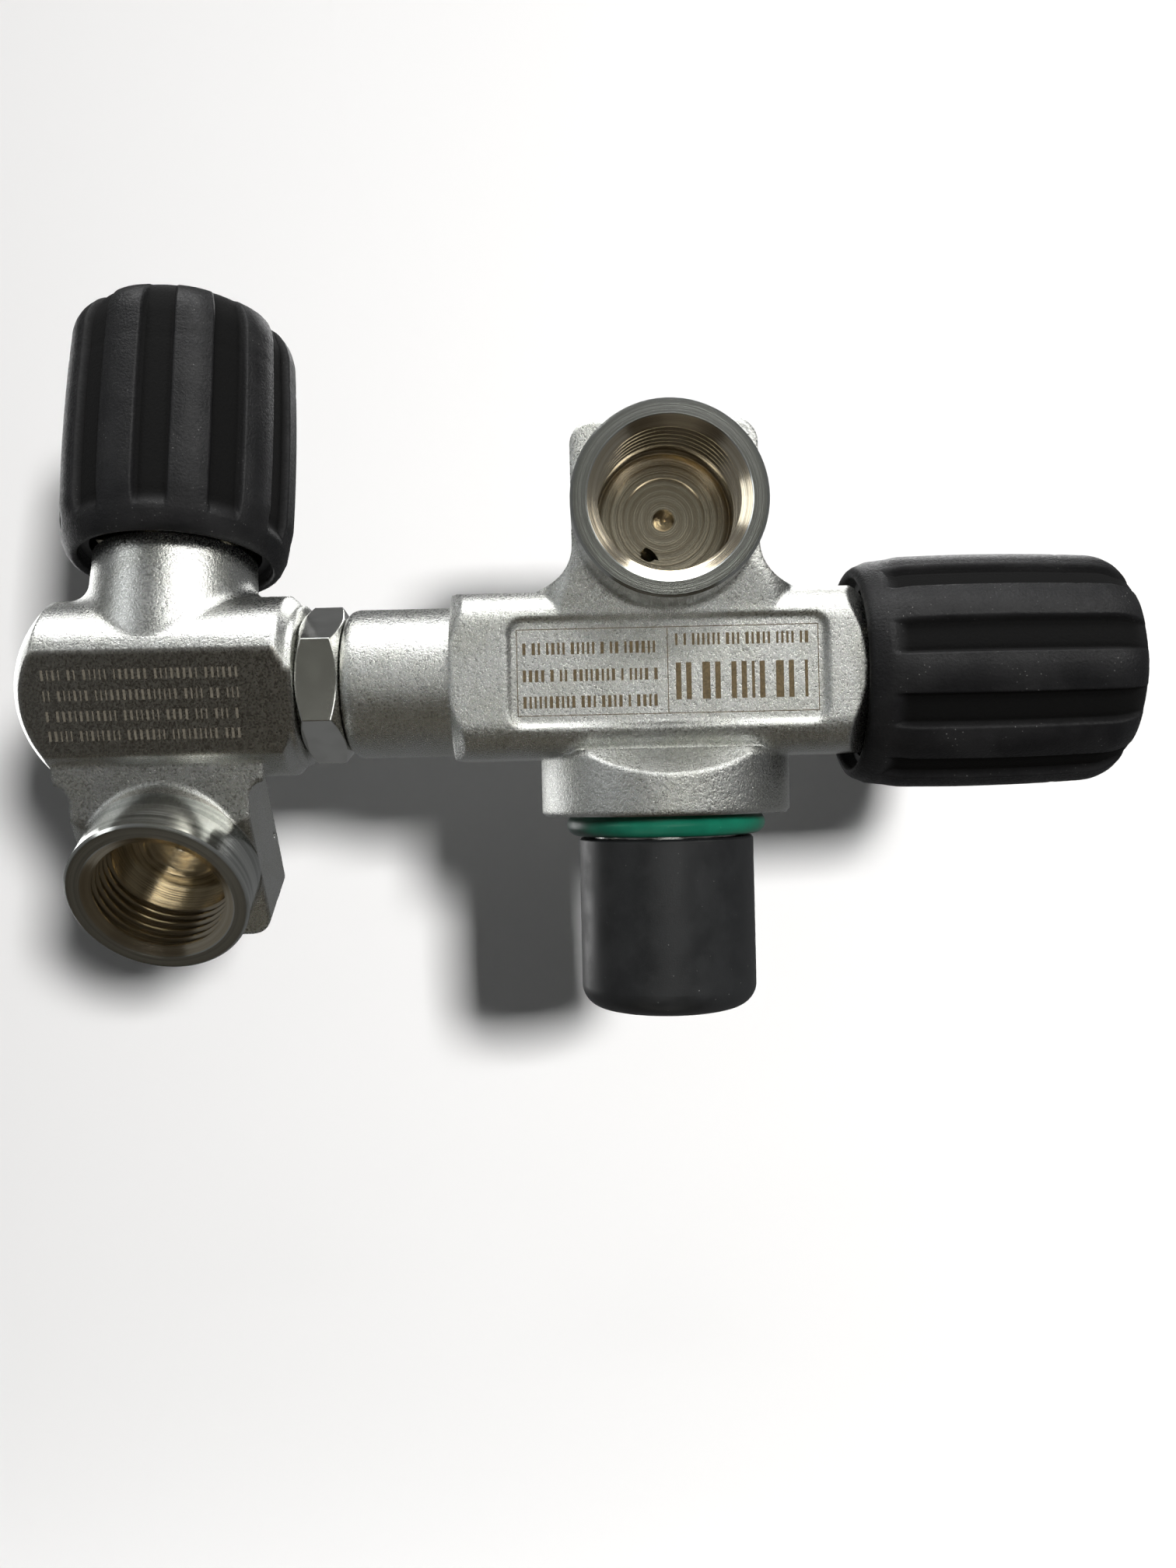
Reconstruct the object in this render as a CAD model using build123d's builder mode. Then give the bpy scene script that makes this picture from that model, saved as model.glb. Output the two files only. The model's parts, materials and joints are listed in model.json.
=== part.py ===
"""Two-outlet modular valve for a scuba cylinder: a main valve with a side module joined by a lock nut.

Millimetres. Z runs up the neck, X towards the main knob, and -Y is the side that the main outlet
faces. The origin is where the neck's axis meets the collar's underside, which seats on a cylinder.
"""

import os
from math import cos, radians, sin, tan

from build123d import *

# neck: M25 x 2 thread below a round collar
COLLAR_R = 20.0
COLLAR_FRONT_H = 6.2  # the collar's front and back edges slope up from here to the bar
COLLAR_TOP = 10.2
COLLAR_BEVEL = 1.0
SEAT_BEVEL = 0.5
SEAT_LAND_R = 16.6  # the seat outside this radius stands proud of the O-ring's floor
SEAT_LAND_H = 0.2
NECK_R = 12.5
NECK_ROOT_R = 11.3
NECK_SHANK_R = 11.8
NECK_PITCH = 2.0
NECK_TURNS = 9
NECK_THREAD_TOP = -5.0
NECK_END = -24.5
NECK_RUNOUT = 0.3
NECK_TIP_BEVEL = 0.4
NECK_BORE_R = 4.0
DIP_PORT_R = 5.5
DIP_PORT_L = 10.0
NECK_RING_SECTION = 3.53
NECK_RING_ID = 24.99

# bar: the forging that carries the main valve along X
AXIS_Z = 22.0
BAR_W = 29.0
BAR_H = 25.7
BAR_CORNER_R = 5.5
BAR_LEFT = -33.1
BAR_LEFT_R = 15.0
BAR_RIGHT = 31.5
END_R = 13.0  # radius of the turned end under each knob
BAR_ENVELOPE_R = 17.3
PANEL_W = 49.0
PANEL_H = 17.2
PANEL_R = 2.8
PANEL_DEPTH = 0.9
STUB_R = 12.0
STUB_END = -50.6
STUB_EDGE_R = 2.2
STUB_TUCK = 2.0
CROSS_BORE_END = -2.0
MAIN_GAS_FROM = (7.5, 6.5, 0.0)
MAIN_GAS_OFFSET = -3.0

# outlet: G5/8 thread in a round boss on a square head
OUTLET_OFFSET = 23.3
OUTLET_FACE = 25.6
BOSS_R = 14.2
BOSS_BEVEL = 0.4
BOSS_TUCK = 3.0
HEAD_HALF = 14.15
MAIN_HEAD_FRONT = 15.4
SIDE_HEAD_FRONT = 17.4
MAIN_HEAD_BACK = -1.0
SIDE_HEAD_BACK = 5.5
HEAD_CORNER_R = 3.6
HEAD_ROOT_R = 6.0
HEAD_TUCK = 3.0
HEAD_ROUND = 2.0  # how far in from its sides the head's front starts to curve back
MAIN_SLOPE = ((BAR_W / 2 - 0.1, 9.4), (MAIN_HEAD_FRONT, 16.0))
PORT_CREST_R = 10.29
PORT_ROOT_R = 11.46
PORT_PITCH = 1.814
PORT_TURNS = 5
PORT_THREAD_TOP = 24.6
PORT_MOUTH_R = 12.9
PORT_MOUTH_RISE = 0.6
PORT_RUNOUT = 0.5
PORT_RELIEF_R = 10.9
PORT_FLOOR = 11.4
PORT_RECESS_R = 6.35
PORT_RECESS_DEPTH = 0.7
PORT_DIMPLE_R = 1.7
PORT_DIMPLE_DEPTH = 1.5
PORT_GAS_R = 1.1
PORT_GAS_OFFSET = 18.4

# valve unit: places along its axis are measured outwards from the body's turned end
CHAMBER_THREAD_R = 9.0
CHAMBER_THREAD_L = 15.0
CHAMBER_R = 8.2
CHAMBER_L = 27.0
SEAT_RING_H = 1.2
SEAT_RING_R = 3.6
ORIFICE_R = 2.5
ORIFICE_L = 32.0
SEAT_T = SEAT_RING_H - CHAMBER_L
PLUG_R = 8.1
PLUG_NOSE_R = 6.0
PLUG_NOSE_L = 3.5
PLUG_L = 11.7
SLOT_W = 2.5
SLOT_DEPTH = 7.7
INSERT_R = 4.5
INSERT_H = 2.5
INSERT_PROUD = 0.5
TONGUE_W = 2.3
TONGUE_R = 6.2
TONGUE_TIP_T = SEAT_T + 8.7
FLANGE_T = SEAT_T + 16.6
FLANGE_H = 2.0
FLANGE_R = 6.4
WASHER_H = 0.7
STEM_R = 3.5
STEM_SQUARE = 5.6
STEM_THREAD_R = 2.5
STEM_END_T = 31.0
STEM_TIP_BEVEL = 0.4
STEM_GROOVE_DEPTH = 1.3
STEM_GROOVE_FROM_T = -4.2
STEM_GROOVE_TO_T = -2.4
STEM_RING_WIRE_R = 0.64
STEM_LAP = 0.2
BONNET_R = 8.95
BONNET_SKIRT_T = -9.4
BONNET_SKIRT_R = 6.8
BONNET_SHOULDER_T = FLANGE_T + FLANGE_H + WASHER_H + 0.1  # leaves the washer room to turn
BONNET_HEX_AF = 22.0
BONNET_HEX_T = 5.0
BONNET_NECK_R = 5.5
BONNET_NECK_T = 7.0
BONNET_BORE_R = 3.55
BONNET_GROOVE_R = 7.4
BONNET_GROOVE_FROM_T = -3.1
BONNET_GROOVE_TO_T = -1.1
BONNET_HEX_LAP = 0.4
BONNET_RING_WIRE_R = 0.74

# knob: a ribbed rubber grip on a hard hub, held on the stem's square by a nut
KNOB_R = 19.0
KNOB_BELLY_T = 14.0
KNOB_WAIST_R = 18.4
KNOB_SKIRT_T = 1.5
KNOB_SKIRT_ROUND = ((0.5, 0.9), (1.3, 0.0))  # in from the waist, up from the rim
KNOB_RIM_T = -1.5
KNOB_END_T = 41.4
KNOB_END_FLAT_R = 12.0
KNOB_CROWN_R = 16.6
KNOB_CROWN_DROP = 2.2
KNOB_SHOULDER_DROP = 7.0
KNOB_MOUTH_R = 15.3
KNOB_LOBES = 10
KNOB_LOBE_DEG = 19.0
KNOB_PHASE = 23.4
KNOB_GROOVE_R = 17.5
KNOB_GROOVE_FROM_T = 3.5
KNOB_GROOVE_TO_T = 35.5
KNOB_HOLE_R = 7.5
HUB_R = 15.0
HUB_BOTTOM_T = 1.0
HUB_CAVITY_R = 13.6
HUB_WEB_T = 13.0
HUB_WEB_TOP_T = 24.0
HUB_TOP_T = 34.0
HUB_RECESS_R = 9.0
SPRING_R = 7.4
SPRING_WIRE_R = 0.6
SPRING_TURNS = 3.0
SPRING_END_GAP = 0.3
NUT_AF = 8.0
NUT_H = 4.0
NUT_WASHER_R = 6.0
NUT_WASHER_H = 1.0
NUT_WASHER_HOLE_R = 2.7

# side module
SIDE_X = -80.0
SIDE_KNOB_TILT = 10.5  # the side knob leans back from the vertical
SIDE_OUTLET_DROP = 33.0  # the side outlet points down from the horizontal
SIDE_END_T = 22.3
DRUM_R = 14.5
DRUM_RIGHT = -57.5
DRUM_LEFT = -103.6
DRUM_DOME_R = 19.0
DRUM_BEVEL = 1.3
DRUM_SHOULDER_R = 12.9
DRUM_SHOULDER_L = 1.0
LABEL_FLAT = 12.0
LABEL_TILT = 15.0
NECK_FLARE_R = 3.2  # the concave round where the side knob's neck meets the drum
NECK_BASE_R = 13.9
NECK_TOP_BEVEL = 0.6
SIDE_FOOT = 9.0
SIDE_ROOT_R = 2.5
SIDE_SLOPE = ((13.0, 6.0), (SIDE_HEAD_FRONT, 15.0))
PIN_HOLE_R = 0.5
PIN_HOLE_AT = (24.5, 7.0)
PIN_HOLE_DEPTH = 1.6
SIDE_GAS_FROM = (6.0, 2.4, 1.4)
SIDE_GAS_OFFSET = 3.0
INLET_R = 2.0
INLET_LAP = 1.5

# joint between the two modules
SPIGOT_R = 8.0
SPIGOT_NOSE_R = 7.1
SPIGOT_BORE_R = 3.0
SPIGOT_LEFT = -70.2
SPIGOT_SHOULDER = -44.0
SPIGOT_RIGHT = -36.6
SPIGOT_POCKET = -70.5
SPIGOT_FIT = 0.1
SPIGOT_NOSE_GAP = 0.4
SPIGOT_BEVEL = 0.5
SPIGOT_GROOVES = (-39.0, -42.0)
SPIGOT_GROOVE_W = 1.8
SPIGOT_GROOVE_DEPTH = 1.3
SPIGOT_RING_WIRE_R = 0.66
SPIGOT_RING_R = 6.48
LOCK_NUT_AF = 22.0
LOCK_NUT_RIGHT = -50.68
LOCK_NUT_LEFT = -57.42
LOCK_NUT_FIT = 0.06
HEX_FACE_INSET = 0.25

# protective cap over the neck thread
CAP_R = 14.1
CAP_BORE_R = 13.4
CAP_LIP_R = 12.62
CAP_LIP_H = 0.8
CAP_TOP = -3.75
CAP_BOTTOM = -31.0
CAP_EDGE_R = 3.6
CAP_MOUTH_BEVEL = 0.3
CAP_FLOOR = 1.3

CLEARANCE = 0.1  # sliding clearance
GAP = 0.02  # hand-assembly clearance between pieces that rest on each other
FAR = 60.0  # past every edge of the body being cut


class Unit:
    """One valve unit's place: its plane has Z along the knob's axis, from the turned end outwards."""

    def __init__(self, origin, direction, end):
        tip = Vector(*origin) + Vector(*direction) * end
        self.plane = Plane(origin=tip, x_dir=(0, 1, 0) if direction[0] else (1, 0, 0), z_dir=direction)
        self.axis = Axis(tip, direction)
        half_normal = self.plane.y_dir * -1
        self.half = Plane(origin=tip, x_dir=self.plane.x_dir, z_dir=half_normal)


def turned(half, axis, outline):
    """Solid of revolution from a closed outline of (radius, height) points."""
    with BuildPart() as piece:
        with BuildSketch(half):
            with BuildLine():
                Polyline(*outline, close=True)
            make_face()
        revolve(axis=axis)
    return piece.part


def turned_on(unit, outline):
    return turned(unit.half, unit.axis, outline)


def ring_on(unit, height, centre_r, wire_r):
    """O-ring round a unit's axis."""
    with BuildPart() as ring:
        with BuildSketch(unit.half):
            with Locations((centre_r, height)):
                Circle(wire_r)
        revolve(axis=unit.axis)
    return ring.part


def thread_outline(crest_r, root_r, top, pitch, turns):
    """(radius, height) points down a thread drawn as parallel ridges, which start and end on a crest."""
    land = 0.18 * pitch
    flank = 0.32 * pitch
    points = []
    for turn in range(turns):
        start = top - turn * pitch
        points += [(crest_r, start), (crest_r, start - land)]
        points += [(root_r, start - land - flank), (root_r, start - pitch + flank)]
    last = top - turns * pitch
    return points + [(crest_r, last), (crest_r, last - land)]


def outlet_head(base, back, foot, root_r, slope):
    """Square head with round boss. The base plane has Z out of the mouth and Y from bar axis to outlet.

    back is the head's rear face, foot is how far up Y its sides start to curve in, with radius root_r,
    and slope is the two (Z, Y) points between which its front rises out of the body.
    """
    head_top = OUTLET_OFFSET + HEAD_HALF
    half = HEAD_HALF
    front = slope[1][0]
    flat = half - HEAD_ROUND
    recede = root_r + HEAD_ROUND / 2
    wide = half + root_r
    low = slope[0][1] - HEAD_TUCK
    side = Plane(origin=base.origin, x_dir=base.z_dir, z_dir=base.x_dir * -1)
    across = Plane(origin=base.origin, x_dir=base.x_dir, z_dir=base.y_dir * -1)
    with BuildPart() as head:
        with BuildSketch(base.offset(back)):
            with BuildLine():
                Polyline((-wide, foot), (-wide, low), (wide, low), (wide, foot))
                RadiusArc((wide, foot), (half, foot + root_r), root_r)
                Line((half, foot + root_r), (half, head_top - HEAD_CORNER_R))
                RadiusArc((half, head_top - HEAD_CORNER_R), (half - HEAD_CORNER_R, head_top), -HEAD_CORNER_R)
                Line((half - HEAD_CORNER_R, head_top), (HEAD_CORNER_R - half, head_top))
                RadiusArc((HEAD_CORNER_R - half, head_top), (-half, head_top - HEAD_CORNER_R), -HEAD_CORNER_R)
                Line((-half, head_top - HEAD_CORNER_R), (-half, foot + root_r))
                RadiusArc((-half, foot + root_r), (-wide, foot), root_r)
            make_face()
        extrude(amount=front - back)
        with BuildSketch(side):
            with BuildLine():
                Polyline(
                    (back, low),
                    (slope[0][0], low),
                    *slope,
                    (front, head_top),
                    (back, head_top),
                    close=True,
                )
            make_face()
        extrude(amount=wide, both=True, mode=Mode.INTERSECT)
        with BuildSketch(across):
            with BuildLine():
                Polyline((flat, front), (-flat, front))
                TangentArc((-flat, front), (-wide, front - recede), tangent=(-1, 0))
                Polyline((-wide, front - recede), (-wide, back), (wide, back), (wide, front - recede))
                TangentArc((flat, front), (wide, front - recede), tangent=(1, 0))
            make_face()
        extrude(amount=FAR, both=True, mode=Mode.INTERSECT)
        with BuildSketch(base.offset(front - BOSS_TUCK)):
            with Locations((0, OUTLET_OFFSET)):
                Circle(BOSS_R)
        extrude(amount=OUTLET_FACE - front + BOSS_TUCK)
        mouth = head.faces().sort_by(Axis(base.origin, base.z_dir))[-1]
        chamfer(mouth.edges(), BOSS_BEVEL)
    return head.part


def outlet_cutter(base):
    """Threaded port, its stepped floor, centre dimple and gas hole, as one solid to take away."""
    centre = base.origin + base.y_dir * OUTLET_OFFSET
    half = Plane(origin=centre, x_dir=base.x_dir, z_dir=base.y_dir * -1)
    floor = PORT_FLOOR - PORT_RECESS_DEPTH
    outline = [
        (0, OUTLET_FACE + 1),
        (PORT_MOUTH_R, OUTLET_FACE + 1),
        (PORT_MOUTH_R, OUTLET_FACE + PORT_MOUTH_RISE),
        (PORT_CREST_R, PORT_THREAD_TOP),
        *thread_outline(PORT_CREST_R, PORT_ROOT_R, PORT_THREAD_TOP - GAP, PORT_PITCH, PORT_TURNS),
    ]
    relief_top = outline[-1][1] - PORT_RUNOUT
    outline += [
        (PORT_RELIEF_R, relief_top),
        (PORT_RELIEF_R, PORT_FLOOR),
        (PORT_RECESS_R, PORT_FLOOR),
        (PORT_RECESS_R, floor),
        (PORT_DIMPLE_R, floor),
        (0, floor - PORT_DIMPLE_DEPTH),
    ]
    return turned(half, Axis(centre, base.z_dir), outline)


def drilled(start, end, radius):
    """Straight passage between two points."""
    run = Vector(*end) - Vector(*start)
    with BuildPart() as hole:
        with BuildSketch(Plane(origin=start, z_dir=run)):
            Circle(radius)
        extrude(amount=run.length)
    return hole.part


def chamber_cutter(unit):
    """Bonnet thread, plug chamber, raised seat ring and orifice, as one solid to take away."""
    outline = [
        (0, 1),
        (CHAMBER_THREAD_R, 1),
        (CHAMBER_THREAD_R, -CHAMBER_THREAD_L),
        (CHAMBER_R, -CHAMBER_THREAD_L),
        (CHAMBER_R, -CHAMBER_L),
        (SEAT_RING_R, -CHAMBER_L),
        (SEAT_RING_R, SEAT_T),
        (ORIFICE_R, SEAT_T),
        (ORIFICE_R, -ORIFICE_L),
        (0, -ORIFICE_L),
    ]
    return turned_on(unit, outline)


def write(part, label):
    part.label = label
    export_step(part, f"parts/{label}.step")


os.makedirs("parts", exist_ok=True)

side_dir = (0, sin(radians(SIDE_KNOB_TILT)), cos(radians(SIDE_KNOB_TILT)))
drop = radians(SIDE_OUTLET_DROP)
main_unit = Unit((0, 0, AXIS_Z), (1, 0, 0), BAR_RIGHT)
side_unit = Unit((SIDE_X, 0, AXIS_Z), side_dir, SIDE_END_T)
main_port = Plane(origin=(0, 0, AXIS_Z), x_dir=(1, 0, 0), z_dir=(0, -1, 0))
side_port = Plane(origin=(SIDE_X, 0, AXIS_Z), x_dir=(-1, 0, 0), z_dir=(0, -cos(drop), -sin(drop)))
neck_half = Plane.XZ
bar_axis = Axis((0, 0, AXIS_Z), (1, 0, 0))
bar_half = Plane(origin=(0, 0, AXIS_Z), x_dir=(0, 0, 1), z_dir=(0, 1, 0))

# ---------------------------------------------------------------- main body

neck_outline = [
    (0, COLLAR_TOP),
    (COLLAR_R - COLLAR_BEVEL, COLLAR_TOP),
    (COLLAR_R, COLLAR_TOP - COLLAR_BEVEL),
    (COLLAR_R, SEAT_BEVEL),
    (COLLAR_R - SEAT_BEVEL, 0),
    (SEAT_LAND_R, 0),
    (SEAT_LAND_R, SEAT_LAND_H),
    (NECK_SHANK_R, SEAT_LAND_H),
    (NECK_SHANK_R, NECK_THREAD_TOP + NECK_RUNOUT),
    *thread_outline(NECK_R, NECK_ROOT_R, NECK_THREAD_TOP, NECK_PITCH, NECK_TURNS),
    (NECK_ROOT_R, NECK_END + NECK_RUNOUT),
    (NECK_ROOT_R - NECK_TIP_BEVEL, NECK_END),
    (0, NECK_END),
]
bar_envelope = [
    (0, BAR_LEFT),
    (BAR_LEFT_R, BAR_LEFT),
    (BAR_ENVELOPE_R, BAR_LEFT + BAR_ENVELOPE_R - BAR_LEFT_R),
    (BAR_ENVELOPE_R, BAR_RIGHT - BAR_ENVELOPE_R + END_R),
    (END_R, BAR_RIGHT),
    (0, BAR_RIGHT),
]
neck = turned(neck_half, Axis.Z, neck_outline)
envelope = turned(bar_half, bar_axis, bar_envelope)
main_head = outlet_head(main_port, MAIN_HEAD_BACK, BAR_H / 2, HEAD_ROOT_R, MAIN_SLOPE)
main_outlet_cut = outlet_cutter(main_port)
main_gas_from = main_port.from_local_coords(MAIN_GAS_FROM)
main_gas_to = main_port.from_local_coords((MAIN_GAS_OFFSET, PORT_GAS_OFFSET, PORT_FLOOR))
main_gas = drilled(main_gas_from, main_gas_to, PORT_GAS_R)
main_chamber = chamber_cutter(main_unit)

with BuildPart() as collar:
    with BuildSketch(Plane.YZ):
        with BuildLine():
            Polyline(
                (-COLLAR_R, NECK_END),
                (-COLLAR_R, COLLAR_FRONT_H),
                (-BAR_W / 2, COLLAR_TOP),
                (BAR_W / 2, COLLAR_TOP),
                (COLLAR_R, COLLAR_FRONT_H),
                (COLLAR_R, NECK_END),
                close=True,
            )
        make_face()
    extrude(amount=COLLAR_R, both=True)
    add(neck, mode=Mode.INTERSECT)

with BuildPart() as main_body:
    with BuildSketch(Plane.YZ.offset(BAR_LEFT)):
        with Locations((0, AXIS_Z)):
            RectangleRounded(BAR_W, BAR_H, BAR_CORNER_R)
    extrude(amount=BAR_RIGHT - BAR_LEFT)
    add(envelope, mode=Mode.INTERSECT)
    with BuildSketch(Plane.YZ.offset(STUB_END)):
        with Locations((0, AXIS_Z)):
            Circle(STUB_R)
    extrude(amount=BAR_LEFT - STUB_END + STUB_TUCK)
    fillet(main_body.faces().sort_by(Axis.X)[0].edges(), STUB_EDGE_R)
    add(collar.part)
    add(main_head)
    with BuildSketch(Plane(origin=(0, -BAR_W / 2, AXIS_Z), x_dir=(1, 0, 0), z_dir=(0, -1, 0))):
        RectangleRounded(PANEL_W, PANEL_H, PANEL_R)
    extrude(amount=-PANEL_DEPTH, taper=45, mode=Mode.SUBTRACT)
    add(main_outlet_cut, mode=Mode.SUBTRACT)
    add(main_gas, mode=Mode.SUBTRACT)
    add(main_chamber, mode=Mode.SUBTRACT)
    with BuildSketch(Plane.XY.offset(NECK_END)):
        Circle(DIP_PORT_R)
    extrude(amount=DIP_PORT_L, mode=Mode.SUBTRACT)
    with BuildSketch(Plane.XY.offset(NECK_END)):
        Circle(NECK_BORE_R)
    extrude(amount=AXIS_Z - NECK_END + NECK_BORE_R, mode=Mode.SUBTRACT)
    with BuildSketch(Plane.YZ.offset(STUB_END)):
        with Locations((0, AXIS_Z)):
            Circle(SPIGOT_R + SPIGOT_FIT)
    extrude(amount=SPIGOT_SHOULDER - STUB_END + SPIGOT_FIT, mode=Mode.SUBTRACT)
    with BuildSketch(Plane.YZ.offset(STUB_END)):
        with Locations((0, AXIS_Z)):
            Circle(SPIGOT_NOSE_R + SPIGOT_FIT)
    extrude(amount=SPIGOT_RIGHT - STUB_END + SPIGOT_NOSE_GAP, mode=Mode.SUBTRACT)
    with BuildSketch(Plane.YZ.offset(STUB_END)):
        with Locations((0, AXIS_Z)):
            Circle(SPIGOT_BORE_R)
    extrude(amount=CROSS_BORE_END - STUB_END, mode=Mode.SUBTRACT)
write(main_body.part, "main_body")

# ---------------------------------------------------------------- neck seal and cap

ring_r = NECK_RING_SECTION / 2
with BuildPart() as neck_o_ring:
    with BuildSketch(Plane.XZ):
        with Locations((NECK_RING_ID / 2 + ring_r, SEAT_LAND_H - ring_r - GAP)):
            Circle(ring_r)
    revolve(axis=Axis.Z)
write(neck_o_ring.part, "neck_o_ring")

cap_inner_r = CAP_EDGE_R - CAP_FLOOR
with BuildPart() as thread_cap:
    with BuildSketch(Plane.XZ):
        with BuildLine():
            Line((0, CAP_BOTTOM), (CAP_R - CAP_EDGE_R, CAP_BOTTOM))
            RadiusArc((CAP_R - CAP_EDGE_R, CAP_BOTTOM), (CAP_R, CAP_BOTTOM + CAP_EDGE_R), -CAP_EDGE_R)
            Polyline(
                (CAP_R, CAP_BOTTOM + CAP_EDGE_R),
                (CAP_R, CAP_TOP - CAP_MOUTH_BEVEL),
                (CAP_R - CAP_MOUTH_BEVEL, CAP_TOP),
                (CAP_LIP_R, CAP_TOP),
                (CAP_LIP_R, CAP_TOP - CAP_LIP_H),
                (CAP_BORE_R, CAP_TOP - CAP_LIP_H),
                (CAP_BORE_R, CAP_BOTTOM + CAP_EDGE_R),
            )
            RadiusArc(
                (CAP_BORE_R, CAP_BOTTOM + CAP_EDGE_R),
                (CAP_BORE_R - cap_inner_r, CAP_BOTTOM + CAP_FLOOR),
                cap_inner_r,
            )
            Line((CAP_BORE_R - cap_inner_r, CAP_BOTTOM + CAP_FLOOR), (0, CAP_BOTTOM + CAP_FLOOR))
            Line((0, CAP_BOTTOM + CAP_FLOOR), (0, CAP_BOTTOM))
        make_face()
    revolve(axis=Axis.Z)
write(thread_cap.part, "thread_cap")

# ---------------------------------------------------------------- side body and its joint

label_dir = (0, -cos(radians(LABEL_TILT)), -sin(radians(LABEL_TILT)))
label_plane = Plane(origin=(SIDE_X, 0, AXIS_Z), x_dir=(1, 0, 0), z_dir=label_dir)
side_head = outlet_head(side_port, SIDE_HEAD_BACK, SIDE_FOOT, SIDE_ROOT_R, SIDE_SLOPE)
side_outlet_cut = outlet_cutter(side_port)
side_gas_from = side_port.from_local_coords(SIDE_GAS_FROM)
side_gas_to = side_port.from_local_coords((SIDE_GAS_OFFSET, PORT_GAS_OFFSET, PORT_FLOOR))
side_gas = drilled(side_gas_from, side_gas_to, PORT_GAS_R)
side_chamber = chamber_cutter(side_unit)
inlet_start = (SPIGOT_POCKET + INLET_LAP, 0, AXIS_Z)
inlet_end = side_unit.plane.from_local_coords((0, 0, INLET_LAP - ORIFICE_L))
side_inlet = drilled(inlet_start, inlet_end, INLET_R)
dome_centre = DRUM_LEFT + DRUM_DOME_R
dome_edge = dome_centre - (DRUM_DOME_R**2 - DRUM_R**2) ** 0.5

side_neck = turned_on(
    side_unit,
    [
        (0, -SIDE_END_T),
        (NECK_BASE_R, -SIDE_END_T),
        (END_R, -NECK_TOP_BEVEL),
        (END_R - NECK_TOP_BEVEL, 0),
        (0, 0),
    ],
)
with BuildPart() as drum:
    with BuildSketch(bar_half):
        with BuildLine():
            Line((0, DRUM_LEFT), (0, DRUM_RIGHT))
            Polyline(
                (0, DRUM_RIGHT),
                (DRUM_SHOULDER_R, DRUM_RIGHT),
                (DRUM_SHOULDER_R, DRUM_RIGHT - DRUM_SHOULDER_L),
                (DRUM_R - DRUM_BEVEL, DRUM_RIGHT - DRUM_SHOULDER_L),
                (DRUM_R, DRUM_RIGHT - DRUM_SHOULDER_L - DRUM_BEVEL),
                (DRUM_R, dome_edge),
            )
            RadiusArc((DRUM_R, dome_edge), (0, DRUM_LEFT), DRUM_DOME_R)
        make_face()
    revolve(axis=bar_axis)
    add(side_neck)
    fillet(drum.edges().filter_by(GeomType.BSPLINE), NECK_FLARE_R)
    with BuildSketch(label_plane.offset(LABEL_FLAT)):
        Rectangle(FAR, FAR / 2)
    extrude(amount=DRUM_R, mode=Mode.SUBTRACT)

pin_hole_from = side_port.from_local_coords((-HEAD_HALF - 1, *PIN_HOLE_AT))
pin_hole_to = side_port.from_local_coords((PIN_HOLE_DEPTH - HEAD_HALF, *PIN_HOLE_AT))
pin_hole = drilled(pin_hole_from, pin_hole_to, PIN_HOLE_R)

with BuildPart() as side_body:
    add(drum.part)
    add(side_head)
    add(side_outlet_cut, mode=Mode.SUBTRACT)
    add(side_gas, mode=Mode.SUBTRACT)
    add(side_chamber, mode=Mode.SUBTRACT)
    add(side_inlet, mode=Mode.SUBTRACT)
    add(pin_hole, mode=Mode.SUBTRACT)
    with BuildSketch(Plane.YZ.offset(SPIGOT_POCKET)):
        with Locations((0, AXIS_Z)):
            Circle(SPIGOT_R + GAP)
    extrude(amount=DRUM_RIGHT - SPIGOT_POCKET, mode=Mode.SUBTRACT)
write(side_body.part, "side_body")

with BuildPart() as crossover_spigot:
    with BuildSketch(Plane.YZ.offset(SPIGOT_LEFT)):
        with Locations((0, AXIS_Z)):
            Circle(SPIGOT_R)
    extrude(amount=SPIGOT_SHOULDER - SPIGOT_LEFT)
    with BuildSketch(Plane.YZ.offset(SPIGOT_SHOULDER)):
        with Locations((0, AXIS_Z)):
            Circle(SPIGOT_NOSE_R)
    extrude(amount=SPIGOT_RIGHT - SPIGOT_SHOULDER)
    chamfer(crossover_spigot.edges().sort_by(Axis.X)[-1], SPIGOT_BEVEL)
    chamfer(crossover_spigot.edges().sort_by(Axis.X)[0], SPIGOT_BEVEL)
    for groove in SPIGOT_GROOVES:
        with BuildSketch(Plane.YZ.offset(groove - SPIGOT_GROOVE_W / 2)):
            with Locations((0, AXIS_Z)):
                Circle(SPIGOT_NOSE_R)
                Circle(SPIGOT_NOSE_R - SPIGOT_GROOVE_DEPTH, mode=Mode.SUBTRACT)
        extrude(amount=SPIGOT_GROOVE_W, mode=Mode.SUBTRACT)
    with BuildSketch(Plane.YZ.offset(SPIGOT_LEFT)):
        with Locations((0, AXIS_Z)):
            Circle(SPIGOT_BORE_R)
    extrude(amount=SPIGOT_RIGHT - SPIGOT_LEFT, mode=Mode.SUBTRACT)
write(crossover_spigot.part, "crossover_spigot")

with BuildPart() as crossover_o_rings:
    for groove in SPIGOT_GROOVES:
        with BuildSketch(bar_half):
            with Locations((SPIGOT_RING_R, groove)):
                Circle(SPIGOT_RING_WIRE_R)
        revolve(axis=bar_axis)
write(crossover_o_rings.part, "crossover_o_rings")


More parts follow.
